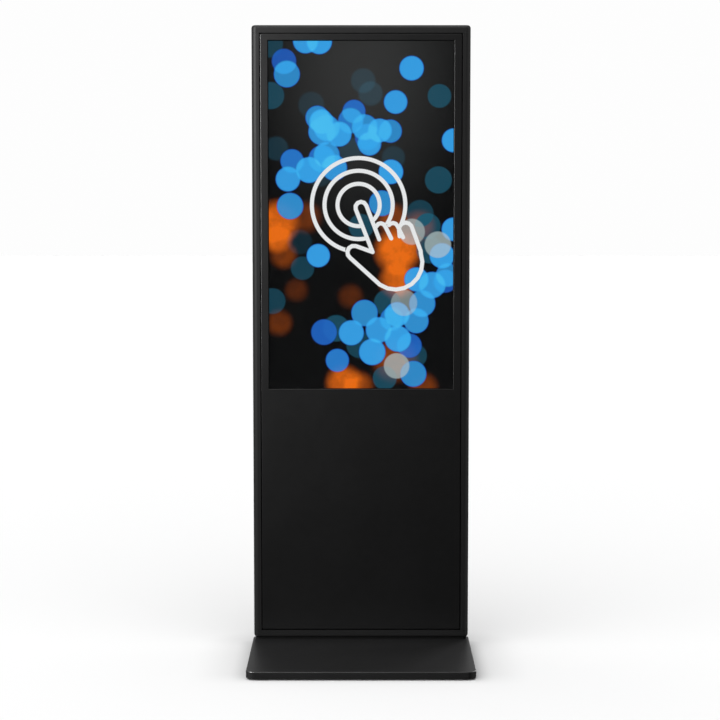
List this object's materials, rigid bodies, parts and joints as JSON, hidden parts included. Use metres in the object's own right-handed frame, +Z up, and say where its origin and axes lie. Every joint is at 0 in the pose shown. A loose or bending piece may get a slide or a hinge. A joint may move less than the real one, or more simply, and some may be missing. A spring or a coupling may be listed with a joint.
{
  "type": "touchscreen kiosk",
  "caption": "Floor-standing touchscreen totem with a slim framed body, recessed portrait display and wide low base",
  "frame": {"origin": "floor level under the middle of the base", "axes": "+Z up; the screen faces -Y; +X to the right as seen from the front"},
  "size_m": [0.626, 0.44, 1.786],
  "materials": {
    "base_paint": "satin fine-texture black powder coat",
    "ballast_steel": "plain mill steel",
    "underplate_steel": "matt black paint",
    "foot_rubber": "matt black rubber",
    "plinth_steel": "matt black paint",
    "bolt_steel": "zinc plated",
    "frame_aluminium": "satin black anodised",
    "structure_steel": "matt black paint",
    "fascia_paint": "satin black powder coat",
    "gasket_foam": "black closed-cell foam",
    "touch_glass": "clear toughened glass",
    "screen": "lit liquid crystal panel",
    "light_guide": "clear acrylic with a white back sheet",
    "tray_steel": "zinc plated sheet",
    "cover_paint": "satin fine-texture black powder coat",
    "door_paint": "satin fine-texture black powder coat",
    "hinge_steel": "brushed steel",
    "lock_chrome": "polished chrome",
    "lock_brass": "nickel-plated brass",
    "cam_steel": "zinc plated",
    "socket_plastic": "moulded black",
    "rocker_plastic": "moulded black",
    "button_steel": "brushed stainless",
    "plate_steel": "galvanised sheet",
    "supply_case": "perforated zinc sheet",
    "player_case": "black anodised with fins",
    "circuit_board": "green solder mask",
    "speaker_plastic": "moulded black",
    "fan_plastic": "moulded black",
    "rotor_plastic": "moulded black",
    "cable_jacket": "black PVC sheath"
  },
  "bodies": {
    "kiosk": {"base_cover": "base_paint", "ballast_plate": "ballast_steel", "base_underplate": "underplate_steel", "foot_front_left": "foot_rubber", "foot_front_right": "foot_rubber", "foot_rear_left": "foot_rubber", "foot_rear_right": "foot_rubber", "plinth": "plinth_steel", "base_bolt_1": "bolt_steel", "base_bolt_2": "bolt_steel", "base_bolt_3": "bolt_steel", "base_bolt_4": "bolt_steel", "side_rail_left": "frame_aluminium", "side_rail_right": "frame_aluminium", "top_cap": "frame_aluminium", "bottom_rail": "frame_aluminium", "upright_left": "structure_steel", "upright_right": "structure_steel", "crossbar_upper": "structure_steel", "crossbar_middle": "structure_steel", "crossbar_lower": "structure_steel", "front_fascia": "fascia_paint", "window_gasket": "gasket_foam", "touch_glass": "touch_glass", "lcd_cell": "screen", "light_guide": "light_guide", "backlight_tray": "tray_steel", "rear_cover_upper": "cover_paint", "rear_cover_lower": "cover_paint", "hinge_upper_frame_leaf": "hinge_steel", "hinge_upper_pin": "hinge_steel", "hinge_lower_frame_leaf": "hinge_steel", "hinge_lower_pin": "hinge_steel", "mains_inlet": "socket_plastic", "rocker_frame": "socket_plastic", "network_socket": "socket_plastic", "button_bezel": "button_steel", "equipment_plate": "plate_steel", "power_supply": "supply_case", "media_player": "player_case", "display_controller": "circuit_board", "touch_controller": "circuit_board", "speaker_left": "speaker_plastic", "speaker_right": "speaker_plastic", "fan_frame_left": "fan_plastic", "fan_frame_right": "fan_plastic", "mains_loom": "cable_jacket", "display_power_cable": "cable_jacket", "video_cable": "cable_jacket"},
    "door": {"service_door": "door_paint", "hinge_upper_door_leaf": "hinge_steel", "hinge_lower_door_leaf": "hinge_steel", "lock_housing": "lock_chrome", "lock_nut": "lock_chrome"},
    "lock": {"lock_plug": "lock_brass", "lock_cam": "cam_steel"},
    "rocker": {"power_rocker": "rocker_plastic"},
    "button": {"power_button": "button_steel"},
    "rotor_left": {"fan_rotor_left": "rotor_plastic"},
    "rotor_right": {"fan_rotor_right": "rotor_plastic"}
  },
  "joints": [
    {"name": "service_door_swing", "type": "hinge", "parent": "kiosk", "child": "door", "pos_m": [0.191, 0.2167, 0.425], "axis": [0, 0, -1], "range_deg": [0, 110]},
    {"name": "lock_cam_turn", "type": "hinge", "parent": "door", "child": "lock", "pos_m": [-0.17, 0.207, 0.425], "axis": [0, -1, 0], "range_deg": [0, 90]},
    {"name": "power_rocker_tip", "type": "hinge", "parent": "kiosk", "child": "rocker", "pos_m": [-0.07, 0.2116, 0.12], "axis": [-1, 0, 0], "range_deg": [0, 20]},
    {"name": "power_button_press", "type": "slide", "parent": "kiosk", "child": "button", "axis": [0, -1, 0], "range_m": [0, 0.002], "stiffness_N_per_m": 800, "springref_m": -0.001},
    {"name": "fan_left_spin", "type": "hinge", "parent": "kiosk", "child": "rotor_left", "pos_m": [-0.11, 0.207, 1.69], "axis": [0, 1, 0], "continuous": true},
    {"name": "fan_right_spin", "type": "hinge", "parent": "kiosk", "child": "rotor_right", "pos_m": [0.11, 0.207, 1.69], "axis": [0, 1, 0], "continuous": true}
  ]
}
